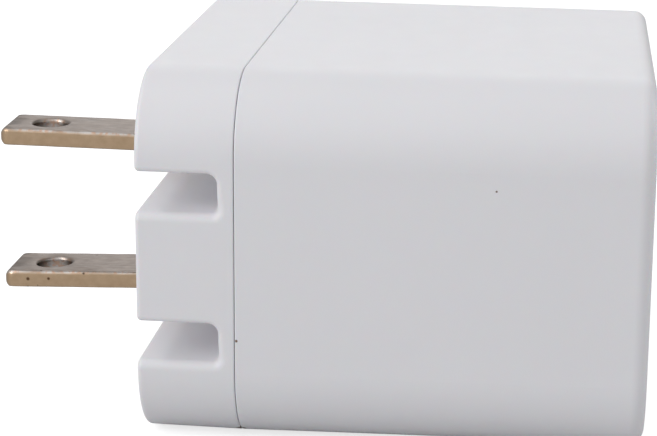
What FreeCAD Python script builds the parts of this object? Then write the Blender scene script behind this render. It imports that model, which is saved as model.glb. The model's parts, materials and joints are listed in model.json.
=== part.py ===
"""USB wall charger with a folding two-blade plug, as an assembly of its real pieces.

Frame: millimetres. The origin is on the plug face, midway between the two blades and on the
plane that both of them lie across. -X is the way the blades point into an outlet, +X leads to
the USB ports, and Z runs through both blades, so that a blade's broad faces look up and down.
The two blades turn together about one axis along Z, from straight out to flat in their slots.
"""
import FreeCAD, Part
import math
import os

# ---- case ------------------------------------------------------------------------------------
body_length = 42.0        # plug face to USB face, along X
body_depth = 47.0         # front face to back face, along Y, at the seam
body_height = 31.5        # along Z, at the seam
front_setback = 20.6      # blades' centre plane to the front face
corner_radius = 6.8       # the four long edges
seam_margin = 0.2         # slot troughs to the middle of the seam
seam_gap = 0.05           # shadow line between cover and shell
seam_round = 0.12         # broken edge on both sides of the seam
cover_draft = 0.6         # degrees, narrower towards the plug face
shell_draft = 0.4         # degrees, narrower towards the USB face
wall = 1.9                # side walls and end walls
plug_face_round = 0.4     # its outline and the slots' edges on it
past = 1.0                # cutters run this far past the face they cut
merge = 0.1               # fused pieces run this far into each other
usb_face_round = 1.2
lip_thickness = 1.1       # the cover's lip, inside the shell
lip_reach = 2.9           # how far the lip runs past the seam
lip_clearance = 0.1
lip_root = 1.5            # how far the lip runs back inside the cover

# ---- blades (two flat pins, no earth) --------------------------------------------------------
blade_spacing = 12.7
blade_width = 6.35
blade_thickness = 1.5
blade_reach = 15.9        # plug face to tip
blade_hole_radius = 1.6
blade_hole_reach = 11.9   # plug face to the hole's centre
blade_tip_round = 0.9
blade_tip_chamfer = 0.4
blade_edge_round = 0.2

# ---- rotor that carries both blades ----------------------------------------------------------
hub_setback = 0.1         # plug face to the hubs
hub_radius = 3.3
hub_thickness = 3.0
shaft_radius = 2.0        # between the hubs
journal_radius = 1.8
journal_length = 3.1      # beyond each hub
core_radius = 1.4         # moulded through the blade's root
flat_height = 1.7         # axis to the detent flats
running_clearance = 0.06  # journal in its bearing

# ---- blade slots -----------------------------------------------------------------------------
slot_height = 3.35
folded_clearance = 0.225  # folded blade to the slot's inner end
slot_corner = 0.9         # upper inner corner, along Y
slot_low_corner = 0.5     # lower inner corner
slot_floor_round = 0.75   # floor's edge on the front face
slot_lip_round = 0.45     # the roof's edge there; the inner end's edge goes from one to the other
slot_wall = 1.2
hub_clearance = 0.25      # around the hubs in their bay

# ---- bay and retainer ------------------------------------------------------------------------
bay_wall = 1.0
face_web = 1.2            # plug-face wall in front of the shaft
bearing_thickness = 2.4
bearing_half_width = 3.2
bearing_offset = 0.4      # hub to its bearing
bay_end_clearance = 0.5   # bearing to the bay's end
retainer_thickness = 1.3
retainer_corner = 1.5
window_clearance = 0.3    # around a contact leaf in the retainer
boss_radius = 2.2
boss_half_pitch = 8.0     # between the two bosses behind the blades and Z = 0
boss_overlap = 0.6        # bosses merged into the bay's wall
screw_shank_radius = 0.85
screw_head_radius = 1.7
screw_head_height = 1.2
screw_bite = 4.6          # thread length in the boss
screw_clearance = 0.04
screw_head_round = 0.5
screw_recess_depth = 0.7
screw_recess_half = 1.0   # half the length of each arm of the cross
screw_recess_arm = 0.2    # half the width of an arm
screw_hole_extra = 0.5    # hole beyond the screw's end
retainer_hole_radius = 1.1

# ---- springs ---------------------------------------------------------------------------------
spring_thickness = 0.3
contact_gap = 0.12        # hub to contact leaf
contact_leaf = 2.2        # leaf height, along Z
contact_width = 3.0       # along Y
contact_foot = 0.9
contact_pitch = 1.6       # between the two down-legs
detent_gap = 0.1          # leaf to the shaft's round part
detent_half_length = 3.2
detent_width = 3.2
detent_overrun = 0.4      # shaft's flats beyond the spring's ends

# ---- boards ----------------------------------------------------------------------------------
board_thickness = 1.6
board_side_clearance = 0.35
rail_height = 1.4
rail_width = 1.6
rail_offset = 11.0        # rails either side of the case's middle
film_thickness = 0.25
usb_board_thickness = 1.2
usb_board_width = 22.0
usb_board_height = 20.6
usb_board_corner = 1.0
board_end_clearance = 0.8
board_lead_in = 0.8       # board's edge to the first contact leg

# ---- USB-A receptacles -----------------------------------------------------------------------
port_width = 13.1         # outside of the steel shell, along Z
port_height = 5.7         # outside of the steel shell, along Y
port_sheet = 0.3
port_length = 12.0
port_recess = 0.5         # USB face to the steel shell's mouth
port_pitch = 11.2
port_fit = 0.15           # case opening around the steel shell
port_round = 0.6
tongue_thickness = 1.84
tongue_width = 11.1
tongue_reach = 8.9
tongue_offset = 0.55      # off the middle of the mouth
tongue_setback = 0.6      # mouth to the tongue's tip
tongue_round = 0.35
tongue_root = 0.5         # start of the tongue inside its block
block_fit = 0.05          # block in the steel shell
port_contact_pitch = 2.25
port_contact_width = 1.1
port_contact_thickness = 0.25
port_contact_setback = 1.4    # mouth to the contacts' tips
port_contact_root = 0.5       # contacts' length inside the block

# ---- parts on the boards ---------------------------------------------------------------------
core_length = 11.0        # transformer core, along X
core_width = 17.0         # along Y
core_height = 15.5
core_leg = 3.4
core_side_share = 0.7     # a side leg's thickness, of the other legs'
core_edge_round = 0.4
core_gap = 1.3            # to the USB board
core_side_gap = 1.5       # to the contact springs
coil_radius = 5.1
coil_build = 2.2          # thickness of the bobbin's tube and the coil on it
bobbin_fit = 0.1          # bobbin in the core
bobbin_tube = 0.8
bobbin_flange = 1.2
bobbin_foot = 2.4
foot_thickness = 0.8
bulk_large_radius = 5.0
bulk_large_height = 20.0
bulk_small_radius = 4.0
bulk_small_height = 15.0
output_radius = 4.0
output_height = 11.5
can_round = 0.6
can_groove_round = 0.6
can_groove_height = 2.2
can_groove_depth = 0.3
vent_depth = 0.3
vent_half_width = 0.15
vent_share = 0.6          # a vent's length, of the can's radius
can_gap = 0.6
can_stagger = 1.0         # large input capacitor behind the small one
output_gap = 1.0          # output capacitors to the USB board
disc_radius = 3.5         # safety capacitor
disc_thickness = 2.2
disc_round = 0.7
disc_height = 1.0         # board to the disc
disc_lead_share = 0.6     # leads' places, of the disc's radius
fuse_radius = 1.5
fuse_length = 5.8
fuse_round = 0.5
fuse_height = 0.5         # board to the body
fuse_lead_reach = 1.0     # body's end to the bend
fuse_inset = 0.6          # from the board's edge
inductor_radius = 1.8
inductor_height = 8.0
inductor_flange = 0.9
inductor_waist = 0.25     # winding inside the flanges' radius
chip_width = 2.6
chip_lead_width = 0.5
chip_lead_reach = 0.5
chip_lead_sheet = 0.2
chip_lift = 0.15          # board to the chip's body, and its top edges' round
chip_shoulder_share = 0.35    # leads' height, of the chip's
controller_length = 4.9
controller_height = 1.5
bridge_length = 4.2
bridge_height = 2.4
chip_gap = 2.1            # controller to bridge
chip_row_start = 1.0      # transformer's front to the first chip
coupler_length = 4.2
coupler_height = 3.2
charge_chip_side = 5.0
charge_chip_height = 1.0
rectifier_width = 4.0
rectifier_length = 5.5
rectifier_height = 2.2
board_chip_y = -2.5       # middle of both packages on the USB board
rectifier_low_z = -7.5
board_chip_round = 0.2
lead_radius = 0.3
part_clearance = 0.4

# ---- places worked out from the sizes above --------------------------------------------------
pivot_x = hub_setback + hub_radius               # hinge axis behind the plug face
slot_depth = pivot_x + blade_width / 2 + folded_clearance
blade_z = blade_spacing / 2
front_y = -front_setback
back_y = body_depth - front_setback
middle_y = (front_y + back_y) / 2
floor_z = -body_height / 2
seat_x = slot_depth + slot_wall                  # back of the slot walls, retainer's seat
bay_half_y = hub_radius + hub_clearance
bearing_z = blade_z + hub_thickness / 2 + bearing_offset   # inner side of the end bearings
bay_half_z = bearing_z + bearing_thickness + bay_end_clearance
cover_length = seat_x + seam_margin              # plug face to the middle of the seam
cover_end = cover_length - seam_gap / 2
shell_start = cover_length + seam_gap / 2
lip_end = shell_start + lip_reach
end_wall_x = body_length - wall
film_z = floor_z + wall + rail_height
board_z = film_z + film_thickness
board_top = board_z + board_thickness
board_start = lip_end + part_clearance
board_end = end_wall_x - board_end_clearance
port_mouth = body_length - port_recess
usb_board_back = port_mouth - port_length
usb_board_front = usb_board_back - usb_board_thickness
leg_lower_x = board_start + board_lead_in
leg_upper_x = leg_lower_x + contact_pitch

os.makedirs("parts", exist_ok=True)


# ---- helpers ---------------------------------------------------------------------------------
def vector(x, y, z):
    return FreeCAD.Vector(x, y, z)


def box(x0, x1, y0, y1, z0, z1):
    return Part.makeBox(x1 - x0, y1 - y0, z1 - z0, vector(x0, y0, z0))


def rod_x(radius, x0, x1, y, z):
    return Part.makeCylinder(radius, x1 - x0, vector(x0, y, z), vector(1, 0, 0))


def rod_y(radius, y0, y1, x, z):
    return Part.makeCylinder(radius, y1 - y0, vector(x, y0, z), vector(0, 1, 0))


def rod_z(radius, z0, z1, x, y):
    return Part.makeCylinder(radius, z1 - z0, vector(x, y, z0), vector(0, 0, 1))


def fuse(shapes):
    return shapes[0].multiFuse(shapes[1:]).removeSplitter()


def round_edges(shape, radius, wanted):
    """Fillet the edges for which wanted(edge, middle) is true."""
    edges = [edge for edge in shape.Edges if wanted(edge, middle_of(edge))]
    return shape.makeFillet(radius, edges)


def middle_of(edge):
    return edge.valueAt((edge.FirstParameter + edge.LastParameter) / 2)


def straight_along(edge, axis):
    """True for a straight edge along the axis, given as 0, 1 or 2."""
    if not isinstance(edge.Curve, Part.Line):
        return False
    return abs(abs(edge.Curve.Direction[axis]) - 1) < 1e-6


def near(value, target, tolerance=0.02):
    return abs(value - target) < tolerance


def save(shape, name):
    shape.exportStep("parts/" + name + ".step")
    print(name, shape.isValid(), len(shape.Solids), round(shape.Volume, 1))


# ---- case sections ---------------------------------------------------------------------------
def shrink_at(x):
    """How much the draft has taken off each side of the case at x."""
    if x < cover_length:
        return (cover_length - x) * math.tan(math.radians(cover_draft))
    return (x - cover_length) * math.tan(math.radians(shell_draft))


def case_section(x, inset):
    """Rounded rectangle across the case at x, inset from its outer face."""
    inward = inset + shrink_at(x)
    y0 = front_y + inward
    y1 = back_y - inward
    half = body_height / 2 - inward
    radius = corner_radius - inset
    slope = radius * math.sqrt(0.5)
    corners = [(y1 - radius, half - radius, 0), (y0 + radius, half - radius, 1),
               (y0 + radius, radius - half, 2), (y1 - radius, radius - half, 3)]
    unit = [(1, 0), (0, 1), (-1, 0), (0, -1), (1, 0)]
    edges = []
    last = None
    for y, z, turn in corners:
        first_side = unit[turn]
        next_side = unit[turn + 1]
        start = vector(x, y + radius * first_side[0], z + radius * first_side[1])
        end = vector(x, y + radius * next_side[0], z + radius * next_side[1])
        middle = vector(x, y + slope * (first_side[0] + next_side[0]),
                        z + slope * (first_side[1] + next_side[1]))
        if last is not None:
            edges.append(Part.makeLine(last, start))
        edges.append(Part.Arc(start, middle, end).toShape())
        last = end
    edges.append(Part.makeLine(last, edges[0].firstVertex().Point))
    return Part.Wire(edges)


def case_block(x0, x1, inset):
    """Solid stretch of the case between two sections."""
    return Part.makeLoft([case_section(x0, inset), case_section(x1, inset)], True, True)


def on_section(edge, x):
    """True for an edge that lies in the plane at x."""
    box_of = edge.BoundBox
    return near(box_of.XMin, x, 0.005) and near(box_of.XMax, x, 0.005)


# ---- main shell ------------------------------------------------------------------------------
def port_y(side):
    return middle_y + side * port_pitch / 2


def rounded_bar(x0, x1, y, width_y, width_z, radius):
    """Bar along X with rounded long edges, centred on Z = 0."""
    bar = box(x0, x1, y - width_y / 2, y + width_y / 2, -width_z / 2, width_z / 2)
    return round_edges(bar, radius, lambda edge, middle: straight_along(edge, 0))


def make_main_shell():
    outer = case_block(shell_start, body_length, 0)
    outer = round_edges(outer, usb_face_round, lambda edge, middle: on_section(edge, body_length))
    outer = round_edges(outer, seam_round, lambda edge, middle: on_section(edge, shell_start))
    inner = case_block(cover_length, end_wall_x, wall)
    shell = outer.cut(inner)
    for side in (-1, 1):
        width_y = port_height + 2 * port_fit
        width_z = port_width + 2 * port_fit
        opening = rounded_bar(end_wall_x - past, body_length + past, port_y(side),
                              width_y, width_z, port_round + port_fit)
        shell = shell.cut(opening)
    rails = []
    for side in (-1, 1):
        y = middle_y + side * rail_offset
        rails.append(box(board_start, end_wall_x + wall / 2, y - rail_width / 2,
                         y + rail_width / 2, floor_z + wall / 2, film_z))
    return fuse([shell] + rails)


# ---- plug cover ------------------------------------------------------------------------------
def slot_cutter(z):
    """Space for one folded blade, open at the plug face and at the front face."""
    low = z - slot_height / 2
    high = z + slot_height / 2
    cutter = box(-past, slot_depth, front_y - past, bay_half_y, low, high)
    for radius, height in ((slot_corner, high), (slot_low_corner, low)):
        cutter = round_edges(cutter, radius, lambda edge, middle: straight_along(edge, 1)
                             and near(middle.x, slot_depth) and near(middle.z, height))
    return cutter


def rim_radii(edge):
    """Fillet radii at the two ends of a slot's edge on the front face, or None off the slots."""
    middle = middle_of(edge)
    height = abs(middle.z) - blade_z
    if (edge.BoundBox.YLength > wall / 2 or middle.y > front_y + wall / 2 or on_section(edge, 0)
            or middle.x > slot_depth + merge or abs(height) > slot_height / 2 + merge):
        return None
    radii = (slot_floor_round, slot_lip_round)
    if straight_along(edge, 2):
        rising = edge.valueAt(edge.LastParameter).z > edge.valueAt(edge.FirstParameter).z
        return radii if rising else radii[::-1]
    above = middle.z > math.copysign(blade_z, middle.z)
    return (radii[above], radii[above])


def round_slot_rims(cover):
    """Fillet each slot's edge on the front face, with the radius changing on its inner end."""
    document = FreeCAD.newDocument()
    block = document.addObject("Part::Feature", "block")
    block.Shape = cover
    rounded = document.addObject("Part::Fillet", "rounded")
    rounded.Base = block
    rounded.Edges = [(index + 1, *rim_radii(edge))
                     for index, edge in enumerate(block.Shape.Edges) if rim_radii(edge)]
    document.recompute()
    shape = rounded.Shape.copy()
    FreeCAD.closeDocument(document.Name)
    return shape


def on_plug_face(edge, middle):
    """True for the plug face's outline, without the slots' ends next to the hubs."""
    return on_section(edge, 0) and not near(middle.y, bay_half_y)


def make_plug_cover():
    cover = case_block(0, cover_end, 0)
    cover = round_edges(cover, seam_round, lambda edge, middle: on_section(edge, cover_end))
    for z in (-blade_z, blade_z):
        cover = cover.cut(slot_cutter(z))
    cover = round_slot_rims(cover)
    cover = round_edges(cover, plug_face_round, on_plug_face)
    cover = cover.cut(case_block(wall, cover_end + past, wall))
    lip_start = cover_end - lip_root
    inside = [case_block(lip_start, lip_end, wall + lip_clearance).cut(
        case_block(lip_start - past, lip_end + past, wall + lip_clearance + lip_thickness))]
    for z in (-blade_z, blade_z):
        half = slot_height / 2 + slot_wall
        trough = box(wall / 2, seat_x, front_y + wall / 2, 0, z - half, z + half)
        inside.append(trough.common(case_block(wall / 2, seat_x, wall / 2)))
    inside.append(box(wall / 2, seat_x, -bay_half_y - bay_wall, bay_half_y + bay_wall,
                      -bay_half_z - bay_wall, bay_half_z + bay_wall))
    for y, z in boss_places():
        inside.append(rod_x(boss_radius, wall / 2, seat_x, y, z))
    cover = fuse([cover] + inside)
    bay = box(face_web, seat_x + past, -bay_half_y, bay_half_y, -bay_half_z, bay_half_z)
    bearings = []
    for side in (-1, 1):
        z0 = min(side * bearing_z, side * (bearing_z + bearing_thickness))
        bearings.append(box(face_web, pivot_x, -bearing_half_width, bearing_half_width,
                            z0, z0 + bearing_thickness))
    bay = bay.cut(bearings)
    shaft_space = rod_z(journal_radius + running_clearance, -bay_half_z, bay_half_z, pivot_x, 0)
    cover = cover.cut(bay).cut(shaft_space)
    for z in (-blade_z, blade_z):
        cover = cover.cut(slot_cutter(z))
    for y, z in boss_places():
        hole = rod_x(screw_shank_radius + screw_clearance, seat_x - screw_bite - screw_hole_extra,
                     seat_x + past, y, z)
        cover = cover.cut(hole)
    return cover


def boss_places():
    """Where the retainer's screws stand: one between the slots, two behind the blades."""
    out = bay_half_y + bay_wall + boss_radius - boss_overlap
    return [(-out, 0), (out, -boss_half_pitch), (out, boss_half_pitch)]


# ---- blades and rotor ------------------------------------------------------------------------
def blade_outline(radius_tail):
    """Flat outline of a blade, with a tail that is round about the hinge axis."""
    half = blade_width / 2
    tail_x = pivot_x + math.sqrt(radius_tail ** 2 - half ** 2)
    top_start = vector(-blade_reach, half, 0)
    top_end = vector(tail_x, half, 0)
    bottom_end = vector(tail_x, -half, 0)
    bottom_start = vector(-blade_reach, -half, 0)
    edges = [Part.makeLine(top_start, top_end),
             Part.Arc(top_end, vector(pivot_x + radius_tail, 0, 0), bottom_end).toShape(),
             Part.makeLine(bottom_end, bottom_start),
             Part.makeLine(bottom_start, top_start)]
    return Part.Face(Part.Wire(edges))


def make_blade(z):
    low = z - blade_thickness / 2
    high = z + blade_thickness / 2
    blade = blade_outline(hub_radius).extrude(vector(0, 0, blade_thickness))
    blade.translate(vector(0, 0, low))
    blade = round_edges(blade, blade_tip_round,
                        lambda edge, middle: straight_along(edge, 2)
                        and near(middle.x, -blade_reach))
    tip_edges = [edge for edge in blade.Edges
                 if straight_along(edge, 1) and near(middle_of(edge).x, -blade_reach)]
    blade = blade.makeChamfer(blade_tip_chamfer, tip_edges)
    hole = rod_z(blade_hole_radius, low - past, high + past, -blade_hole_reach, 0)
    core = rod_z(core_radius, low - past, high + past, pivot_x, 0)
    blade = blade.cut(hole).cut(core)
    long_edges = [edge for edge in blade.Edges
                  if straight_along(edge, 0) and near(abs(middle_of(edge).y), blade_width / 2)]
    return blade.makeFillet(blade_edge_round, long_edges)


def make_rotor(blades):
    end_z = blade_z + hub_thickness / 2 + journal_length
    pieces = [rod_z(journal_radius, -end_z, end_z, pivot_x, 0)]
    inner_z = blade_z - hub_thickness / 2
    pieces.append(rod_z(shaft_radius, -inner_z, inner_z, pivot_x, 0))
    for z in (-blade_z, blade_z):
        pieces.append(rod_z(hub_radius, z - hub_thickness / 2, z + hub_thickness / 2, pivot_x, 0))
    rotor = fuse(pieces)
    flat_length = detent_half_length + detent_overrun
    rest_flat = box(pivot_x + flat_height, pivot_x + hub_radius, -hub_radius, hub_radius,
                    -flat_length, flat_length)
    folded_flat = box(pivot_x - hub_radius, pivot_x + hub_radius, -hub_radius, -flat_height,
                      -flat_length, flat_length)
    return rotor.cut(rest_flat).cut(folded_flat).cut(blades[0]).cut(blades[1])


# ---- retainer, screws and springs ------------------------------------------------------------
def make_retainer():
    out = bay_half_y + bay_wall + 2 * boss_radius - boss_overlap
    plate = box(seat_x, seat_x + retainer_thickness, -out, out,
                -bay_half_z - bay_wall, bay_half_z + bay_wall)
    plate = round_edges(plate, retainer_corner, lambda edge, middle: straight_along(edge, 0))
    pieces = [plate]
    for side in (-1, 1):
        z0 = min(side * bearing_z, side * (bearing_z + bearing_thickness))
        pieces.append(box(pivot_x + merge, seat_x + merge, -bearing_half_width, bearing_half_width,
                          z0, z0 + bearing_thickness))
    retainer = fuse(pieces)
    retainer = retainer.cut(rod_z(journal_radius + running_clearance,
                                  -bay_half_z, bay_half_z, pivot_x, 0))
    for z in (-blade_z, blade_z):
        half_y = contact_width / 2 + window_clearance
        half_z = contact_leaf / 2 + window_clearance
        window = box(seat_x - past, seat_x + retainer_thickness + past, -half_y, half_y,
                     z - half_z, z + half_z)
        retainer = retainer.cut(window)
    for y, z in boss_places():
        retainer = retainer.cut(rod_x(retainer_hole_radius, seat_x - past,
                                      seat_x + retainer_thickness + past, y, z))
    return retainer


def make_screws():
    screws = []
    head_x = seat_x + retainer_thickness
    for y, z in boss_places():
        head = rod_x(screw_head_radius, head_x, head_x + screw_head_height, y, z)
        head_end = head_x + screw_head_height
        head = round_edges(head, screw_head_round, lambda edge, middle: near(
            edge.BoundBox.XMin, head_end))
        shank = rod_x(screw_shank_radius, seat_x - screw_bite, head_x + merge, y, z)
        screw = fuse([head, shank])
        for half_y, half_z in ((screw_recess_half, screw_recess_arm),
                               (screw_recess_arm, screw_recess_half)):
            recess = box(head_end - screw_recess_depth, head_end + past, y - half_y, y + half_y,
                         z - half_z, z + half_z)
            screw = screw.cut(recess)
        screws.append(screw)
    return Part.makeCompound(screws)


def bent_strip(points, width, thickness):
    """Strip of square bends in the XZ plane, centred on Y = 0. Each point is the middle of
    the sheet."""
    half = thickness / 2
    runs = []
    for start, end in zip(points, points[1:]):
        x0 = min(start[0], end[0]) - half
        x1 = max(start[0], end[0]) + half
        z0 = min(start[1], end[1]) - half
        z1 = max(start[1], end[1]) + half
        runs.append(box(x0, x1, -width / 2, width / 2, z0, z1))
    return fuse(runs)


def make_contact_spring(z, leg_x):
    """From the blade's tail, through the retainer's window and down to the main board."""
    half = spring_thickness / 2
    leaf_x = pivot_x + hub_radius + contact_gap + half
    top = z + contact_leaf / 2 - half
    bottom = z - contact_leaf / 2 + half
    foot_z = board_top + half
    points = [(leaf_x, bottom), (leaf_x, top), (leg_x, top), (leg_x, foot_z),
              (leg_x + contact_foot, foot_z)]
    return bent_strip(points, contact_width, spring_thickness)


def make_detent_spring():
    half = spring_thickness / 2
    leaf_x = pivot_x + shaft_radius + detent_gap + half
    points = [(seat_x - half, -detent_half_length), (leaf_x, -detent_half_length),
              (leaf_x, detent_half_length), (seat_x - half, detent_half_length)]
    return bent_strip(points, detent_width, spring_thickness)


# ---- boards ----------------------------------------------------------------------------------
def make_main_board():
    inner = case_block(board_start, board_end, wall + board_side_clearance)
    slab = box(board_start, board_end, front_y, back_y, board_z, board_top)
    return slab.common(inner)


def make_film():
    inner = case_block(board_start, board_end, wall + board_side_clearance)
    sheet = box(board_start, board_end, front_y, back_y, film_z, board_z)
    return sheet.common(inner)


def make_usb_board():
    board = box(usb_board_front, usb_board_back, middle_y - usb_board_width / 2,
                middle_y + usb_board_width / 2, board_top, board_top + usb_board_height)
    return round_edges(board, usb_board_corner, lambda edge, middle: straight_along(edge, 0)
                       and middle.z > board_top + usb_board_corner)


# ---- USB-A receptacles -----------------------------------------------------------------------
def make_port_shell(side):
    y = port_y(side)
    outer = rounded_bar(usb_board_back, port_mouth, y, port_height, port_width, port_round)
    inner = rounded_bar(usb_board_back - past, port_mouth + past, y, port_height - 2 * port_sheet,
                        port_width - 2 * port_sheet, port_round - port_sheet)
    return outer.cut(inner)


def make_port_tongue(side):
    """Moulded back block and the tongue that carries the contacts."""
    y = port_y(side)
    inward = 2 * (port_sheet + block_fit)
    tip = port_mouth - tongue_setback
    block = rounded_bar(usb_board_back, tip - tongue_reach, y, port_height - inward,
                        port_width - inward, port_round - port_sheet)
    tongue_y = y + tongue_offset
    tongue = box(usb_board_back + tongue_root, tip, tongue_y - tongue_thickness / 2,
                 tongue_y + tongue_thickness / 2, -tongue_width / 2, tongue_width / 2)
    tongue = round_edges(tongue, tongue_round, lambda edge, middle: near(middle.x, tip))
    return fuse([block, tongue])


def make_port_contacts(side):
    """Four flat contacts on the tongue's wide side of the mouth."""
    face_y = port_y(side) + tongue_offset - tongue_thickness / 2
    strips = []
    for index in range(4):
        z = (index - 1.5) * port_contact_pitch
        strips.append(box(port_mouth - tongue_reach - port_contact_root,
                          port_mouth - port_contact_setback,
                          face_y - port_contact_thickness, face_y,
                          z - port_contact_width / 2, z + port_contact_width / 2))
    return Part.makeCompound(strips)


# ---- parts on the boards ---------------------------------------------------------------------
def transformer_places():
    x1 = usb_board_front - core_gap
    x0 = x1 - core_length
    y0 = contact_width / 2 + core_side_gap
    return x0, x1, y0, y0 + core_width


def make_transformer():
    """Core of two E halves around one bobbin, with the wound coil between its flanges."""
    x0, x1, y0, y1 = transformer_places()
    z0 = board_top + bobbin_foot
    z1 = z0 + core_height
    middle_x = (x0 + x1) / 2
    y = (y0 + y1) / 2
    leg_radius = coil_radius - coil_build
    window_z0 = z0 + core_leg
    window_z1 = z1 - core_leg
    side_leg = core_leg * core_side_share
    core = box(x0, x1, y0, y1, z0, z1)
    core = core.cut(box(x0 - past, x1 + past, y0 + side_leg, y1 - side_leg,
                        window_z0, window_z1))
    core = fuse([core, rod_z(leg_radius, window_z0 - merge, window_z1 + merge, middle_x, y)])
    core = round_edges(core, core_edge_round, lambda edge, middle: straight_along(edge, 2)
                       and (near(middle.x, x0) or near(middle.x, x1)))
    tube_radius = leg_radius + bobbin_fit + bobbin_tube
    low = window_z0 + bobbin_fit
    high = window_z1 - bobbin_fit
    flange_y0 = y0 + side_leg + bobbin_fit
    flange_y1 = y1 - side_leg - bobbin_fit
    flanges = [box(x0, x1, flange_y0, flange_y1, low, low + bobbin_flange),
               box(x0, x1, flange_y0, flange_y1, high - bobbin_flange, high)]
    tube = rod_z(tube_radius, low, high, middle_x, y)
    bobbin = fuse(flanges + [tube])
    bobbin = bobbin.cut(rod_z(leg_radius + bobbin_fit, low - past, high + past, middle_x, y))
    feet = []
    for end_x, way in ((x0, -1), (x1, 1)):
        foot_x = sorted((end_x + way * bobbin_fit, end_x + way * (bobbin_fit + foot_thickness)))
        bridge_x = sorted((end_x - way * merge, end_x + way * (bobbin_fit + merge)))
        foot_top = low + bobbin_flange
        feet.append(box(*foot_x, flange_y0, flange_y1, board_top, foot_top))
        feet.append(box(*bridge_x, flange_y0, flange_y1, low, foot_top))
    bobbin = fuse([bobbin] + feet)
    coil = rod_z(coil_radius, low + bobbin_flange, high - bobbin_flange, middle_x, y)
    coil = coil.cut(rod_z(tube_radius, low, high, middle_x, y))
    return core, bobbin, coil


def make_can(radius, height, x, y):
    """Electrolytic capacitor: sleeve with a rolled groove low down and a rounded top."""
    top = board_top + height
    can = rod_z(radius, board_top, top, x, y)
    can = round_edges(can, can_round, lambda edge, middle: edge.BoundBox.ZLength < 0.01)
    groove = Part.makeTorus(radius + can_groove_round - can_groove_depth, can_groove_round,
                            vector(x, y, board_top + can_groove_height))
    can = can.cut(groove)
    for angle in (0, 120, 240):
        vent = box(x, x + radius * vent_share, y - vent_half_width, y + vent_half_width,
                   top - vent_depth, top + past)
        vent.rotate(vector(x, y, 0), vector(0, 0, 1), angle)
        can = can.cut(vent)
    return can


def can_places():
    """Centres of the two input capacitors and the two output capacitors."""
    x0, x1, y0, y1 = transformer_places()
    small = (x0 + bulk_small_radius + can_gap, y0 - part_clearance - bulk_small_radius)
    large = (small[0] + can_stagger,
             small[1] - bulk_small_radius - part_clearance - bulk_large_radius)
    output_x = usb_board_back + output_radius + output_gap
    offset = port_pitch / 2 + port_height / 2 + 2 * part_clearance + output_radius
    return small, large, (output_x, middle_y - offset), (output_x, middle_y + offset)


def make_fuse_resistor():
    """Axial body lying across the board, with its two bent leads."""
    large = can_places()[1]
    x = board_start + fuse_inset + fuse_radius
    y0 = large[1] - fuse_length / 2 + fuse_lead_reach
    y1 = y0 + fuse_length
    z = board_top + fuse_radius + fuse_height
    body = rod_y(fuse_radius, y0, y1, x, z)
    body = round_edges(body, fuse_round, lambda edge, middle: edge.BoundBox.YLength < 0.01)
    pieces = [body]
    for end, way in ((y0, -1), (y1, 1)):
        near_y = end - way * lead_radius
        far_y = end + way * (fuse_lead_reach + lead_radius)
        low_y = min(far_y, far_y - way * 2 * lead_radius)
        pieces.append(box(x - lead_radius, x + lead_radius, min(near_y, far_y),
                          max(near_y, far_y), z - lead_radius, z + lead_radius))
        pieces.append(box(x - lead_radius, x + lead_radius, low_y, low_y + 2 * lead_radius,
                          board_top, z + lead_radius))
    return fuse(pieces)


def make_chip(x0, y0, length, height, pins):
    """Moulded chip on the main board, with gull-wing leads on its two Y sides."""
    y1 = y0 + length
    top = board_top + height
    shoulder = board_top + height * chip_shoulder_share
    body = box(x0, x0 + chip_width, y0, y1, board_top + chip_lift, top)
    body = round_edges(body, chip_lift, lambda edge, middle: near(middle.z, top))
    pieces = [body]
    pitch = chip_width / pins
    for index in range(pins):
        lead_x0 = x0 + (index + 0.5) * pitch - chip_lead_width / 2
        lead_x1 = lead_x0 + chip_lead_width
        pieces.append(box(lead_x0, lead_x1, y0 - chip_lead_reach, y1 + chip_lead_reach,
                          shoulder, shoulder + chip_lead_sheet))
        for end in (y0 - chip_lead_reach, y1 + chip_lead_reach - chip_lead_sheet):
            pieces.append(box(lead_x0, lead_x1, end, end + chip_lead_sheet,
                              board_top, shoulder + chip_lead_sheet))
    return fuse(pieces)


def make_chip_row():
    """Bridge rectifier and controller, in a row in front of the transformer."""
    x0 = board_start + part_clearance
    y0 = transformer_places()[2] + chip_row_start
    controller = make_chip(x0, y0, controller_length, controller_height, 3)
    bridge_y = y0 + controller_length + chip_gap
    return controller, make_chip(x0, bridge_y, bridge_length, bridge_height, 2)


def make_optocoupler():
    """Between the primary and the secondary side, next to the large input capacitor."""
    large = can_places()[1]
    x0 = large[0] + bulk_large_radius + part_clearance
    return make_chip(x0, large[1] - coupler_length / 2, coupler_length, coupler_height, 2)


def make_y_capacitor():
    """Disc capacitor standing on its two leads behind the transformer."""
    x0, x1, y0, y1 = transformer_places()
    x = (x0 + x1) / 2
    y = y1 + part_clearance + disc_thickness / 2
    z = board_top + disc_height + disc_radius
    disc = rod_y(disc_radius, y - disc_thickness / 2, y + disc_thickness / 2, x, z)
    disc = round_edges(disc, disc_round, lambda edge, middle: edge.BoundBox.YLength < 0.01)
    leads = [rod_z(lead_radius, board_top, z, x + side * disc_radius * disc_lead_share, y)
             for side in (-1, 1)]
    return fuse([disc] + leads)


def make_inductor():
    """Drum core with its winding, at the end of the chip row."""
    x = board_start + part_clearance + inductor_radius
    y = transformer_places()[3] - core_leg * core_side_share + inductor_radius
    waist_z = board_top + inductor_flange
    top = board_top + inductor_height
    return fuse([rod_z(inductor_radius, board_top, waist_z, x, y),
                 rod_z(inductor_radius - inductor_waist, waist_z, top - inductor_flange, x, y),
                 rod_z(inductor_radius, top - inductor_flange, top, x, y)])


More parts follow.
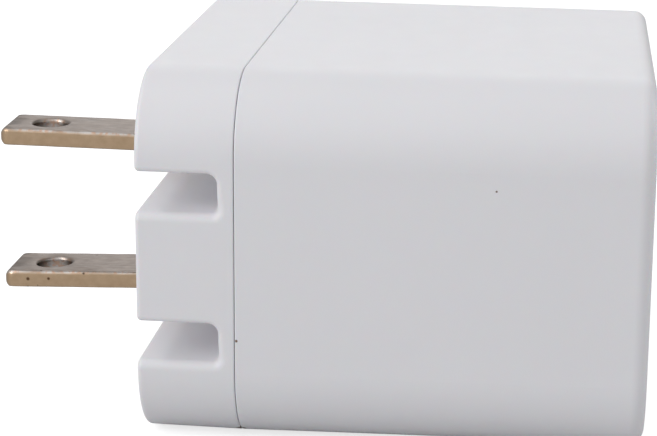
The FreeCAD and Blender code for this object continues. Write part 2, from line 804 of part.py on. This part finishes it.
def make_board_chip(middle_y_of, low_z, width, length, height):
    """Flat package on the face of the USB board that looks at the transformer."""
    face_x = usb_board_front - height
    body = box(face_x, usb_board_front, middle_y_of - width / 2, middle_y_of + width / 2,
               low_z, low_z + length)
    return round_edges(body, board_chip_round, lambda edge, middle: near(middle.x, face_x))


def make_usb_board_parts():
    """Charging chip and output rectifier on the back of the USB board."""
    chip = make_board_chip(board_chip_y, 0.0, charge_chip_side, charge_chip_side,
                           charge_chip_height)
    rectifier = make_board_chip(board_chip_y, rectifier_low_z, rectifier_width,
                                rectifier_length, rectifier_height)
    return chip, rectifier


# ---- the whole charger -----------------------------------------------------------------------
save(make_main_shell(), "main_shell")
save(make_plug_cover(), "plug_cover")

lower = make_blade(-blade_z)
upper = make_blade(blade_z)
save(lower, "blade_lower")
save(upper, "blade_upper")
save(make_rotor([lower, upper]), "blade_rotor")
save(make_retainer(), "rotor_retainer")
save(make_screws(), "retainer_screws")
save(make_detent_spring(), "detent_spring")
save(make_contact_spring(-blade_z, leg_lower_x), "contact_spring_lower")
save(make_contact_spring(blade_z, leg_upper_x), "contact_spring_upper")

save(make_main_board(), "main_board")
save(make_film(), "insulation_film")
save(make_usb_board(), "usb_board")
for side, place in ((-1, "front"), (1, "back")):
    save(make_port_shell(side), "usb_shell_" + place)
    save(make_port_tongue(side), "usb_tongue_" + place)
    save(make_port_contacts(side), "usb_contacts_" + place)

core, bobbin, coil = make_transformer()
save(core, "transformer_core")
save(bobbin, "transformer_bobbin")
save(coil, "transformer_winding")
small_can, large_can, front_can, back_can = can_places()
save(make_can(bulk_small_radius, bulk_small_height, *small_can), "input_capacitor_small")
save(make_can(bulk_large_radius, bulk_large_height, *large_can), "input_capacitor_large")
save(make_can(output_radius, output_height, *front_can), "output_capacitor_front")
save(make_can(output_radius, output_height, *back_can), "output_capacitor_back")
save(make_fuse_resistor(), "fuse_resistor")
controller, bridge = make_chip_row()
save(controller, "controller_chip")
save(bridge, "bridge_rectifier")
save(make_optocoupler(), "optocoupler")
save(make_y_capacitor(), "safety_capacitor")
save(make_inductor(), "input_inductor")
charge_chip, rectifier = make_usb_board_parts()
save(charge_chip, "usb_charge_chip")
save(rectifier, "output_rectifier")
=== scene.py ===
"""Looks for the USB wall charger: materials, blade meshes, studio and camera.

Everything is in metres in the part's own frame: -X is the way the blades point, +X leads to the
USB ports and Z runs through both blades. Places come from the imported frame.
"""
import json
import math

import bmesh
import bpy
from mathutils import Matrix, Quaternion, Vector, noise


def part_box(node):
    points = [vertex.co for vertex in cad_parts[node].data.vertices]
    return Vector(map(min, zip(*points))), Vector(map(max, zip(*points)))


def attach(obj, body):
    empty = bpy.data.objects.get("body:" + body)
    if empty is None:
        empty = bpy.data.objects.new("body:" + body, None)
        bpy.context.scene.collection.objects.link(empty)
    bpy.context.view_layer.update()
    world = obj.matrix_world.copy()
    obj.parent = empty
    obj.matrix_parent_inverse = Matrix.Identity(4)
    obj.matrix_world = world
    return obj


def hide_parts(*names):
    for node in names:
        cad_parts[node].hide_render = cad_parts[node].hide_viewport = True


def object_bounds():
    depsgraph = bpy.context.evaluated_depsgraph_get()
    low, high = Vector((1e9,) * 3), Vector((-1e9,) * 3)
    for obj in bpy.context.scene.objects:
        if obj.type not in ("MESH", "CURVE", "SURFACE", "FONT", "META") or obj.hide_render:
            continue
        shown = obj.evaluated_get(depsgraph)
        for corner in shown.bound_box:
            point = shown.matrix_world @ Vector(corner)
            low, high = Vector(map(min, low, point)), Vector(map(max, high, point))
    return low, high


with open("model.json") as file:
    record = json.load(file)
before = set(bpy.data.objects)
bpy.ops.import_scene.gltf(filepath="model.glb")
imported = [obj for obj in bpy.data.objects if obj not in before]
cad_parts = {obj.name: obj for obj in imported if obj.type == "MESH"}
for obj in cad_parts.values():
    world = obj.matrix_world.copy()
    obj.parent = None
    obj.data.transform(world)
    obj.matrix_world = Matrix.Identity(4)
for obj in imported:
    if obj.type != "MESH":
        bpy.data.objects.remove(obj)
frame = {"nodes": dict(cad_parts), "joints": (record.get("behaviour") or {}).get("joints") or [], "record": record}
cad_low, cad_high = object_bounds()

MM = 0.001

# ---- camera ----------------------------------------------------------------------------------
CAMERA_AZIMUTH = 6.52           # degrees round the object, from straight on to the front face
CAMERA_ELEVATION = 15.09
CAMERA_ROLL = 0.326
CAMERA_DISTANCE = 195.2 * MM
CAMERA_LENS = 116.93
CAMERA_SENSOR = 36.0
CAMERA_CLIP = (0.01, 20.0)      # nearest and furthest that it sees
CAMERA_AIM = Vector((0.355, -1.21, -1.26)) * MM   # from the middle of the object's box

# ---- studio ----------------------------------------------------------------------------------
SKY_COLOUR = (0.985, 0.99, 1.0)
SKY_STRENGTH = 0.52
SOFTBOXES = {                   # place from the middle of the charger, side, watts
    "overhead": ((0.0, 0.05, 0.6), 0.5, 0.15),
    "key": ((-0.3, -0.04, 0.5), 0.08, 0.26),
    "high_front": ((0.0, -0.45, 0.5), 0.4, 0.16),
    "left_front": ((-0.5, -0.4, 0.3), 0.4, 1.4),
    "behind": ((0.0, 0.7, 0.3), 0.5, 0.42),
    "right": ((0.6, 0.3, 0.2), 0.4, 0.5),
}
FLOOR_RADIUS = 3.0
FLOOR_COLOUR = (0.65, 0.65, 0.65)
FLOOR_GLOW = 0.7                # lifts the floor towards white where it is seen
FLOOR_SIDES = 96

# ---- case: colour, and small marks of use as (shares of a node's box, radius in mm) ----------
CASE_COLOUR = (0.882, 0.875, 0.906)
SHELL_MARKS = [
    ((0.0, 0.075, 0.027), 0.55),
    ((0.004, 0.0, 0.31), 0.15),
    ((0.627, 0.003, 0.735), 0.11),
]

# ---- blades ----------------------------------------------------------------------------------
TIP_ROUND = 0.9 * MM            # tip corners, seen from above
TIP_CHAMFER = 0.4 * MM
TOP_ROUND = 0.3 * MM            # rolled edge of the stamping
UNDER_ROUND = 0.14 * MM
HOLE_ROUND = 0.28 * MM
CORE_RADIUS = 1.4 * MM          # hole in the root, filled by the rotor
POINT_PITCH = 0.22 * MM         # along the blade's outline
ROUND_STEPS = 4                 # rows of faces over each rounded edge
WALL_STEPS = 4                  # and between the two rounds
TIP_SLOPE = 0.75                # of the chamfer's faces
WEAR_PATCH = 1.4 * MM           # size of the worn and unworn stretches
WEAR_MIDDLE = 0.6               # how much an edge is worn on average, from 0 to 1
WEAR_SWING = 0.9                # and how far that varies
CORNER_SPREAD = 5               # how widely wear spreads over a rounded edge
UNDER_WEAR = 0.4                # wear of the lower edges, as a share of the upper ones'
BLADE_SEED = 10                 # step from one blade's wear pattern to the next
HOLE_SEED = 3                   # and from the outline's to the holes'
# The second share is edge wear plus a painted highlight on the hole walls; the third is painted shade at tips and
# hole ends.
LAYERS = ("side", "wear_and_highlight", "painted_shade")    # shares from 0 to 1 that the blades' material reads
OUTSIDE = {"outward": 1, "wear": 1.0, "side": 1.0, "painted_shade": 0.5, "painted_highlight": 0.0}
# On the holes the last share paints a highlight on the walls that face across the blade.
HOLE = {"outward": -1, "wear": 0.3, "side": 0.0, "painted_shade": 0.8, "painted_highlight": 0.7}
BENT = {"upper": 0.75, "lower": -1.6}    # degrees that use has bent each blade up
BLADE_MARKS = [((0.1, 0.0, 0.27), 0.2), ((0.185, 0.0, 0.33), 0.17)]    # on the lower blade


# ---- shader helpers --------------------------------------------------------------------------
class Paint:
    """One node material with the few node chains that the materials share."""

    def __init__(self, name, colour, roughness, metallic=0.0):
        self.material = bpy.data.materials.new("finish_" + name)
        self.material.use_nodes = True
        self.tree = self.material.node_tree
        self.shader = self.tree.nodes["Principled BSDF"]
        self.shader.inputs["Base Color"].default_value = (*colour, 1.0)
        self.shader.inputs["Roughness"].default_value = roughness
        self.shader.inputs["Metallic"].default_value = metallic
        place = self.add("ShaderNodeTexCoord").outputs["Object"]
        self.place = self.scaled(place, (1 / MM, 1 / MM, 1 / MM))

    def add(self, kind, **inputs):
        node = self.tree.nodes.new(kind)
        for name, value in inputs.items():
            node.inputs[name.replace("_", " ")].default_value = value
        return node

    def link(self, start, end):
        self.tree.links.new(start, end)

    def set(self, name, value):
        self.shader.inputs[name].default_value = value

    def scaled(self, place, scale):
        """The coordinates stretched by scale."""
        mapping = self.add("ShaderNodeMapping")
        mapping.inputs["Scale"].default_value = scale
        self.link(place, mapping.inputs["Vector"])
        return mapping.outputs["Vector"]

    def noise(self, scale, detail=2.0, stretch=None):
        """Noise from 0 to 1, with scale features per millimetre."""
        node = self.add("ShaderNodeTexNoise", Scale=scale, Detail=detail)
        place = self.scaled(self.place, stretch) if stretch else self.place
        self.link(place, node.inputs["Vector"])
        return node.outputs["Fac"]

    def cells(self, scale):
        """Distance to the nearest of scattered points, with scale points per millimetre."""
        node = self.add("ShaderNodeTexVoronoi", Scale=scale)
        self.link(self.place, node.inputs["Vector"])
        return node.outputs["Distance"]

    def spread(self, value, low, high, start=0.0, end=1.0):
        """value from low..high carried to start..end, and held there."""
        node = self.add("ShaderNodeMapRange", From_Min=low, From_Max=high, To_Min=start, To_Max=end)
        self.link(value, node.inputs["Value"])
        return node.outputs["Result"]

    def blend(self, share, first, second):
        """Colour between first and second; each is a colour or a link."""
        node = self.add("ShaderNodeMix")
        node.data_type = "RGBA"
        self.link(share, node.inputs["Factor"])
        sockets = [socket for socket in node.inputs if socket.type == "RGBA"]
        for socket, value in zip(sockets, (first, second)):
            if isinstance(value, tuple):
                socket.default_value = (*value, 1.0)
            else:
                self.link(value, socket)
        return next(socket for socket in node.outputs if socket.type == "RGBA")

    def marked(self, base, colour, name, marks):
        """base with small marks, each at its shares of a CAD node's box."""
        low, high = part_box(name)
        for shares, radius in marks:
            node = self.add("ShaderNodeVectorMath")
            node.operation = "DISTANCE"
            place = [low[i] + (high[i] - low[i]) * share for i, share in enumerate(shares)]
            node.inputs[1].default_value = Vector(place) / MM
            self.link(self.place, node.inputs[0])
            share = self.spread(node.outputs["Value"], radius / 2, radius, 1.0, 0.0)
            base = self.blend(share, base, colour)
        return base

    def attribute(self, name):
        node = self.add("ShaderNodeAttribute")
        node.attribute_name = name
        return node.outputs["Fac"]

    def colour(self, value):
        self.link(value, self.shader.inputs["Base Color"])

    def rough(self, value):
        self.link(value, self.shader.inputs["Roughness"])

    def bump(self, height, distance, strength=1.0):
        """Relief of the given depth in millimetres, over the relief made so far."""
        node = self.add("ShaderNodeBump", Strength=strength, Distance=distance * MM)
        self.link(height, node.inputs["Height"])
        normal = self.shader.inputs["Normal"]
        if normal.links:
            self.link(normal.links[0].from_socket, node.inputs["Normal"])
        self.link(node.outputs["Normal"], normal)


# ---- materials -------------------------------------------------------------------------------
def moulded_white(name, colour, roughness):
    """Satin moulded plastic: fine spark texture, faint handling haze and a few specks."""
    paint = Paint(name, colour, roughness)
    haze = paint.spread(paint.noise(0.06, 3.0), 0.3, 0.7)
    tinted = paint.blend(haze, tuple(c * 0.985 for c in colour), colour)
    speck = paint.spread(paint.cells(0.09), 0.012, 0.02, 1.0, 0.0)
    specked = paint.blend(speck, tinted, (0.42, 0.38, 0.34))
    paint.colour(paint.marked(specked, (0.16, 0.10, 0.06), "main_shell", SHELL_MARKS))
    paint.rough(paint.spread(paint.noise(0.5, 4.0), 0.3, 0.7, roughness - 0.05, roughness + 0.06))
    paint.bump(paint.noise(7.0, 3.0), 0.006)
    paint.bump(paint.noise(0.35, 1.0), 0.02)
    paint.set("Subsurface Weight", 0.12)
    paint.set("Subsurface Scale", 0.6 * MM)
    paint.set("IOR", 1.49)
    return paint.material


def blade_metal(name):
    """Nickel-plated brass: satin faces, worn bright edges and a stamped brass side."""
    paint = Paint(name, (0.56, 0.5, 0.44), 0.34, 1.0)
    side = paint.attribute("side")
    # Edge wear, plus a painted highlight on the hole walls that face across the blade.
    wear_and_highlight = paint.attribute("wear_and_highlight")
    patches = paint.noise(1.3, 4.0)
    plating = paint.blend(patches, (0.22, 0.18, 0.155), (0.40, 0.325, 0.275))
    brass = paint.blend(patches, (0.53, 0.365, 0.225), (0.73, 0.54, 0.365))
    body = paint.blend(side, plating, brass)
    flecks = paint.spread(paint.noise(2.4, 2.0, (1.0, 0.3, 1.0)), 0.46, 0.6)
    bare = paint.blend(flecks, (0.84, 0.80, 0.77), (0.84, 0.58, 0.44))
    # Bare metal shows at worn edges and also serves as the painted highlight on the hole walls.
    rubbed = paint.blend(wear_and_highlight, body, bare)
    pit = paint.spread(paint.cells(0.6), 0.05, 0.09, 1.0, 0.0)
    pitted = paint.blend(pit, rubbed, (0.16, 0.11, 0.08))
    # Painted shade: near-black where walls face along the blade, at the tip and the hole ends.
    painted_shade_mix = paint.blend(paint.attribute("painted_shade"), pitted, (0.05, 0.04, 0.03))
    paint.colour(paint.marked(painted_shade_mix, (0.16, 0.09, 0.05), "blade_lower", BLADE_MARKS))
    grain = paint.noise(6.0, 3.0, (0.12, 1.0, 1.0))
    paint.rough(paint.spread(grain, 0.3, 0.7, 0.28, 0.46))
    paint.bump(grain, 0.004)
    paint.bump(patches, 0.012)
    return paint.material


def plain_metal(name, colour, roughness, grain_stretch=(0.15, 1.0, 1.0), tarnish=None):
    """Rolled sheet or turned metal with a fine grain and faint tarnish."""
    paint = Paint(name, colour, roughness, 1.0)
    tarnish = tarnish or tuple(c * 0.72 for c in colour)
    paint.colour(paint.blend(paint.spread(paint.noise(0.9, 4.0), 0.5, 0.75), colour, tarnish))
    grain = paint.noise(8.0, 3.0, grain_stretch)
    paint.rough(paint.spread(grain, 0.3, 0.7, roughness - 0.06, roughness + 0.1))
    paint.bump(grain, 0.003)
    return paint.material


def moulded_dark(name, colour, roughness):
    """Black or dark moulding with a fine eroded texture."""
    paint = Paint(name, colour, roughness)
    pale = tuple(c * 1.8 + 0.01 for c in colour)
    paint.colour(paint.blend(paint.spread(paint.noise(3.0, 4.0), 0.45, 0.8), colour, pale))
    paint.rough(paint.spread(paint.noise(2.0, 3.0), 0.3, 0.7, roughness - 0.08, roughness + 0.1))
    paint.bump(paint.noise(9.0, 2.0), 0.008)
    return paint.material


def circuit_board(name):
    """Green solder mask over copper tracks, with tinned dots."""
    paint = Paint(name, (0.02, 0.14, 0.06), 0.35)
    brick = paint.add("ShaderNodeTexBrick", Scale=0.55)
    brick.inputs["Mortar Size"].default_value = 0.05
    paint.link(paint.place, brick.inputs["Vector"])
    track = paint.spread(brick.outputs["Fac"], 0.2, 0.8)
    mask = paint.blend(paint.noise(0.7, 3.0), (0.012, 0.10, 0.045), (0.022, 0.15, 0.065))
    tracked = paint.blend(track, mask, (0.05, 0.26, 0.10))
    dots = paint.spread(paint.cells(0.5), 0.13, 0.17, 1.0, 0.0)
    paint.colour(paint.blend(dots, tracked, (0.62, 0.62, 0.6)))
    paint.rough(paint.spread(paint.noise(3.0), 0.3, 0.7, 0.28, 0.42))
    paint.bump(track, 0.03)
    return paint.material


def film(name):
    """Thin amber insulating film with shallow wrinkles."""
    paint = Paint(name, (0.62, 0.27, 0.04), 0.22)
    paint.colour(paint.blend(paint.noise(0.3, 3.0), (0.50, 0.20, 0.02), (0.68, 0.32, 0.06)))
    paint.rough(paint.spread(paint.noise(1.5, 3.0), 0.3, 0.7, 0.16, 0.3))
    paint.bump(paint.noise(0.25, 2.0), 0.15)
    paint.set("Coat Weight", 0.4)
    return paint.material


def ferrite(name):
    """Sintered ferrite: dark, slightly glittering and porous."""
    paint = Paint(name, (0.055, 0.055, 0.06), 0.5)
    grains = paint.cells(6.0)
    paint.colour(paint.blend(grains, (0.035, 0.035, 0.04), (0.11, 0.11, 0.12)))
    paint.rough(paint.spread(grains, 0.0, 0.6, 0.38, 0.62))
    paint.bump(grains, 0.02)
    return paint.material


def wound_tape(name):
    """Layers of yellow transformer tape, with their edges across the coil's axis."""
    paint = Paint(name, (0.80, 0.60, 0.06), 0.3)
    ridge = paint.add("ShaderNodeTexWave", Scale=0.32, Distortion=0.6)
    ridge.bands_direction = "Z"
    paint.link(paint.place, ridge.inputs["Vector"])
    paint.colour(paint.blend(ridge.outputs["Fac"], (0.66, 0.44, 0.02), (0.86, 0.66, 0.10)))
    paint.rough(paint.spread(paint.noise(2.0, 2.0), 0.3, 0.7, 0.22, 0.36))
    paint.bump(ridge.outputs["Fac"], 0.05)
    paint.bump(paint.noise(0.8, 3.0), 0.03)
    return paint.material


def can_sleeve(name):
    """Shrunk plastic sleeve of an electrolytic capacitor, tight and slightly rippled."""
    paint = Paint(name, (0.03, 0.04, 0.075), 0.25)
    stripe = paint.spread(paint.noise(0.22, 0.0, (1.0, 1.0, 0.02)), 0.58, 0.6)
    base = paint.blend(paint.noise(0.5, 2.0), (0.018, 0.024, 0.05), (0.04, 0.052, 0.095))
    paint.colour(paint.blend(stripe, base, (0.45, 0.46, 0.48)))
    paint.rough(paint.spread(paint.noise(3.0, 3.0), 0.3, 0.7, 0.18, 0.34))
    paint.bump(paint.noise(0.6, 2.0, (1.0, 1.0, 0.25)), 0.06)
    return paint.material


def resistor_coat(name):
    """Matt cement coating of a fusible resistor."""
    paint = Paint(name, (0.22, 0.34, 0.28), 0.6)
    paint.colour(paint.blend(paint.noise(1.6, 4.0), (0.15, 0.26, 0.21), (0.27, 0.41, 0.34)))
    paint.rough(paint.spread(paint.noise(4.0), 0.3, 0.7, 0.5, 0.72))
    paint.bump(paint.noise(2.5, 3.0), 0.05)
    return paint.material


def dipped_blue(name):
    """Glossy dipped coating of a disc capacitor."""
    paint = Paint(name, (0.03, 0.13, 0.42), 0.22)
    paint.colour(paint.blend(paint.noise(0.8, 3.0), (0.02, 0.09, 0.34), (0.05, 0.18, 0.5)))
    paint.rough(paint.spread(paint.noise(2.0), 0.3, 0.7, 0.16, 0.32))
    paint.bump(paint.noise(0.7, 2.0), 0.08)
    return paint.material


def enamelled_copper(name):
    """Turns of enamelled wire round the choke."""
    paint = Paint(name, (0.72, 0.30, 0.13), 0.28, 1.0)
    turns = paint.add("ShaderNodeTexWave", Scale=0.8, Distortion=0.15)
    turns.bands_direction = "Z"
    paint.link(paint.place, turns.inputs["Vector"])
    paint.colour(paint.blend(turns.outputs["Fac"], (0.36, 0.12, 0.05), (0.80, 0.36, 0.16)))
    paint.rough(paint.spread(paint.noise(2.0), 0.3, 0.7, 0.2, 0.36))
    paint.bump(turns.outputs["Fac"], 0.12)
    return paint.material


def make_materials():
    """One material for each of the record's slots."""
    return {
        "case_white": moulded_white("case_white", CASE_COLOUR, 0.36),
        "rotor_white": moulded_white("rotor_white", (0.74, 0.74, 0.765), 0.42),
        "blade_metal": blade_metal("blade_metal"),
        "screw_steel": plain_metal("screw_steel", (0.58, 0.58, 0.60), 0.3, (1.0, 1.0, 0.2)),
        "spring_bronze": plain_metal("spring_bronze", (0.72, 0.47, 0.28), 0.28),
        "board_green": circuit_board("board_green"),
        "film_amber": film("film_amber"),
        "port_steel": plain_metal("port_steel", (0.66, 0.66, 0.68), 0.24),
        "port_black": moulded_dark("port_black", (0.012, 0.012, 0.013), 0.42),
        "contact_gold": plain_metal("contact_gold", (0.90, 0.66, 0.28), 0.2),
        "ferrite_dark": ferrite("ferrite_dark"),
        "bobbin_black": moulded_dark("bobbin_black", (0.02, 0.02, 0.022), 0.5),
        "tape_yellow": wound_tape("tape_yellow"),
        "can_sleeve": can_sleeve("can_sleeve"),
        "resistor_body": resistor_coat("resistor_body"),
        "chip_black": moulded_dark("chip_black", (0.015, 0.015, 0.016), 0.55),
        "disc_blue": dipped_blue("disc_blue"),
        "coil_copper": enamelled_copper("coil_copper"),
    }


def paint_nodes():
    """Gives every CAD node the material of the slot that it was packed with."""
    for node in frame["nodes"].values():
        for place in node.material_slots:
            place.material = materials[place.material.name.split(".")[0]]


# ---- mesh helpers ----------------------------------------------------------------------------
def arc_points(centre, radius, start, end, pitch):
    """Points of an arc in the XY plane, both ends included, angles in degrees."""
    steps = max(2, math.ceil(abs(math.radians(end - start)) * radius / pitch))
    turns = [math.radians(start + (end - start) * i / steps) for i in range(steps + 1)]
    return [centre + Vector((math.cos(t), math.sin(t))) * radius for t in turns]


def straight_points(start, end, pitch):
    """Points strictly between start and end."""
    steps = max(1, round((end - start).length / pitch))
    return [start.lerp(end, i / steps) for i in range(1, steps)]


def outward_normals(points):
    """Unit outward normal at each point of a closed anticlockwise outline."""
    normals = []
    for i, point in enumerate(points):
        along = (points[(i + 1) % len(points)] - points[i - 1]).normalized()
        normals.append(Vector((along.y, -along.x)))
    return normals


def edge_profile(low, high, under_round, top_round):
    """(inset, height, how far round towards the side) from the lower face up to the upper one."""
    levels = []
    for i in range(ROUND_STEPS + 1):
        turn = math.pi / 2 * i / ROUND_STEPS
        height = low + under_round * (1 - math.cos(turn))
        levels.append((under_round * (1 - math.sin(turn)), height, math.sin(turn)))
    straight = high - top_round - low - under_round
    for i in range(1, WALL_STEPS):
        levels.append((0.0, low + under_round + straight * i / WALL_STEPS, 1.0))
    for i in range(ROUND_STEPS + 1):
        turn = math.pi / 2 * i / ROUND_STEPS
        height = high - top_round * (1 - math.sin(turn))
        levels.append((top_round * (1 - math.cos(turn)), height, math.cos(turn)))
    return levels


def finish_mesh(name, bm, slot, body, node):
    """Makes the piece that stands for a CAD node and rides with its body."""
    bmesh.ops.recalc_face_normals(bm, faces=bm.faces)
    mesh = bpy.data.meshes.new(name)
    bm.to_mesh(mesh)
    bm.free()
    mesh.shade_smooth()
    piece = bpy.data.objects.new(name, mesh)
    bpy.context.scene.collection.objects.link(piece)
    mesh.materials.append(materials[slot])
    weighted = piece.modifiers.new("faces", "WEIGHTED_NORMAL")
    weighted.weight = 100
    weighted.keep_sharp = True
    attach(piece, body)
    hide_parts(node)


# ---- blades ----------------------------------------------------------------------------------
def blade_outline(tip_x, half, pivot_x, tail_radius):
    """Anticlockwise outline: rounded tip, straight sides and a round tail about the hinge."""
    tail_x = pivot_x + math.sqrt(tail_radius ** 2 - half ** 2)
    tail_turn = math.degrees(math.asin(half / tail_radius))
    low_corner = Vector((tip_x + TIP_ROUND, TIP_ROUND - half))
    high_corner = Vector((tip_x + TIP_ROUND, half - TIP_ROUND))
    points = arc_points(low_corner, TIP_ROUND, 180, 270, POINT_PITCH)
    points += straight_points(points[-1], Vector((tail_x, -half)), POINT_PITCH)
    points += arc_points(Vector((pivot_x, 0)), tail_radius, -tail_turn, tail_turn, POINT_PITCH)
    points += straight_points(points[-1], Vector((high_corner.x, half)), POINT_PITCH)
    points += arc_points(high_corner, TIP_ROUND, 90, 180, POINT_PITCH)
    points += straight_points(points[-1], points[0], POINT_PITCH)
    return points


def wear_at(place, seed):
    """How much the edge is worn at a place, from about 0 to 1."""
    spot = Vector((place.x / WEAR_PATCH, place.y / WEAR_PATCH, seed))
    return min(1.0, max(0.0, WEAR_MIDDLE + WEAR_SWING * noise.noise(spot)))


def tip_thinning(x, tip_x):
    """How far the chamfer has brought each face in at x."""
    return max(0.0, TIP_CHAMFER - (x - tip_x)) * TIP_SLOPE


def add_wall(bm, points, levels, look, seed, tip_x):
    """Rows of quads round an outline; returns the lowest and highest loop of edges."""
    side_layer, wear_and_highlight_layer, painted_shade_layer = (bm.verts.layers.float[name] for name in LAYERS)
    middle_z = (levels[0][1] + levels[-1][1]) / 2
    normals = outward_normals(points)
    rows = []
    for inset, height, side in levels:
        row = []
        for point, normal in zip(points, normals):
            bare = wear_at(point, seed)
            unevenness = 1 + look["wear"] * (bare - 0.5) / 2
            place = point - normal * inset * look["outward"] * unevenness
            lift = height - middle_z
            lift -= math.copysign(min(abs(lift), tip_thinning(place.x, tip_x)), lift)
            vert = bm.verts.new((place.x, place.y, middle_z + lift))
            corner = min(1.0, CORNER_SPREAD * side * (1 - side))
            rubbed = corner * bare * look["wear"] * (1.0 if lift > 0 else UNDER_WEAR)
            vert[side_layer] = look["side"] * max(0.0, side * 2 - 1)
            # Edge wear, or a painted highlight on hole walls facing across the blade, whichever is larger.
            vert[wear_and_highlight_layer] = max(rubbed, look["painted_highlight"] * side * normal.y ** 2)
            # Painted shade, strongest on walls facing along the blade: the tip and the hole ends.
            vert[painted_shade_layer] = look["painted_shade"] * side * normal.x ** 2
            row.append(vert)
        rows.append(row)
    for lower, upper in zip(rows, rows[1:]):
        for i in range(len(points)):
            bm.faces.new((lower[i - 1], lower[i], upper[i], upper[i - 1]))
    return [[bm.edges.get((row[i - 1], row[i])) for i in range(len(row))]
            for row in (rows[0], rows[-1])]


def bend(bm, degrees):
    """Tilts the blade up from the plug face outwards."""
    slope = math.tan(math.radians(degrees))
    for vert in bm.verts:
        vert.co.z += slope * max(0.0, -vert.co.x)


def make_blade(name, node, hole_centre, hole_radius, seed, degrees):
    """One stamped blade with rolled and worn edges, its hole and its root."""
    low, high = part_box(node)
    half = (high.y - low.y) / 2
    pivot = Vector(frame["joints"][0]["pos_m"][:2])
    tail_radius = high.x - pivot.x
    bm = bmesh.new()
    for layer in LAYERS:
        bm.verts.layers.float.new(layer)
    outline = blade_outline(low.x, half, pivot.x, tail_radius)
    levels = edge_profile(low.z, high.z, UNDER_ROUND, TOP_ROUND)
    loops = [add_wall(bm, outline, levels, OUTSIDE, seed, low.x)]
    hole_points = arc_points(hole_centre, hole_radius, 0, 360, POINT_PITCH / 2)[:-1]
    core_points = arc_points(pivot, CORE_RADIUS, 0, 360, POINT_PITCH)[:-1]
    hole_levels = edge_profile(low.z, high.z, HOLE_ROUND, HOLE_ROUND)
    for points in (hole_points, core_points):
        loops.append(add_wall(bm, points, hole_levels, HOLE, seed + HOLE_SEED, low.x))
    for end in (0, 1):
        edges = [edge for loop in loops for edge in loop[end]]
        bmesh.ops.triangle_fill(bm, edges=edges, use_beauty=True)
    bend(bm, degrees)
    finish_mesh(name, bm, "blade_metal", "plug", node)


def bore_of(name):
    """Centre, seen from above, and radius of one of the record's bores."""
    mount = next(m for m in frame["record"]["mounts"] if m["name"] == name)
    return Vector(mount["pos_m"][:2]), mount["dims"]["r_mm"] * MM


# ---- studio ----------------------------------------------------------------------------------
def add_camera(middle):
    """The photo's viewpoint, aimed beside the middle of the object's box."""
    turn = math.radians(CAMERA_AZIMUTH)
    lift = math.radians(CAMERA_ELEVATION)
    across = math.cos(lift)
    back = Vector((math.sin(turn) * across, -math.cos(turn) * across, math.sin(lift)))
    data = bpy.data.cameras.new("camera")
    data.lens = CAMERA_LENS
    data.sensor_width = CAMERA_SENSOR
    data.clip_start, data.clip_end = CAMERA_CLIP
    camera = bpy.data.objects.new("camera", data)
    camera.location = middle + CAMERA_AIM + back * CAMERA_DISTANCE
    roll = Quaternion((0, 0, 1), math.radians(CAMERA_ROLL))
    camera.rotation_mode = "QUATERNION"
    camera.rotation_quaternion = (-back).to_track_quat("-Z", "Y") @ roll
    bpy.context.scene.collection.objects.link(camera)
    bpy.context.scene.camera = camera


def add_sky():
    """Even white surroundings."""
    world = bpy.data.worlds.new("studio")
    world.use_nodes = True
    background = world.node_tree.nodes["Background"]
    background.inputs["Color"].default_value = (*SKY_COLOUR, 1.0)
    background.inputs["Strength"].default_value = SKY_STRENGTH
    bpy.context.scene.world = world


def add_softbox(name, place, target, size, power):
    """A square area light aimed at a point."""
    data = bpy.data.lights.new(name, "AREA")
    data.size = size
    data.energy = power
    light = bpy.data.objects.new(name, data)
    light.location = place
    light.rotation_mode = "QUATERNION"
    light.rotation_quaternion = (target - place).to_track_quat("-Z", "Y")
    bpy.context.scene.collection.objects.link(light)


def add_floor(height):
    """Round pale floor at the height that the charger stands on."""
    bm = bmesh.new()
    bmesh.ops.create_circle(bm, cap_ends=True, segments=FLOOR_SIDES, radius=FLOOR_RADIUS)
    mesh = bpy.data.meshes.new("floor")
    bm.to_mesh(mesh)
    bm.free()
    floor = bpy.data.objects.new("floor", mesh)
    floor.location.z = height
    bpy.context.scene.collection.objects.link(floor)
    paint = Paint("floor_white", FLOOR_COLOUR, 0.9)
    paint.set("Specular IOR Level", 0.0)
    paint.set("Emission Color", (1.0, 1.0, 1.0, 1.0))
    seen = paint.add("ShaderNodeLightPath").outputs["Is Camera Ray"]
    glow = paint.spread(seen, 0.0, 1.0, 0.0, FLOOR_GLOW)
    paint.link(glow, paint.shader.inputs["Emission Strength"])
    mesh.materials.append(paint.material)


def add_studio(low, high):
    """Camera, lights and floor round the object's box."""
    middle = (low + high) / 2
    bpy.context.scene.view_settings.view_transform = "Standard"
    add_camera(middle)
    add_sky()
    for name, (place, size, power) in SOFTBOXES.items():
        add_softbox(name, middle + Vector(place), middle, size, power)
    add_floor(low.z)


# ---- the charger -----------------------------------------------------------------------------
materials = make_materials()
paint_nodes()
for order, side in enumerate(("upper", "lower")):
    make_blade("blade_" + side + "_stamping", "blade_" + side, *bore_of("blade_hole_" + side),
               BLADE_SEED * order, BENT[side])
add_studio(cad_low, cad_high)
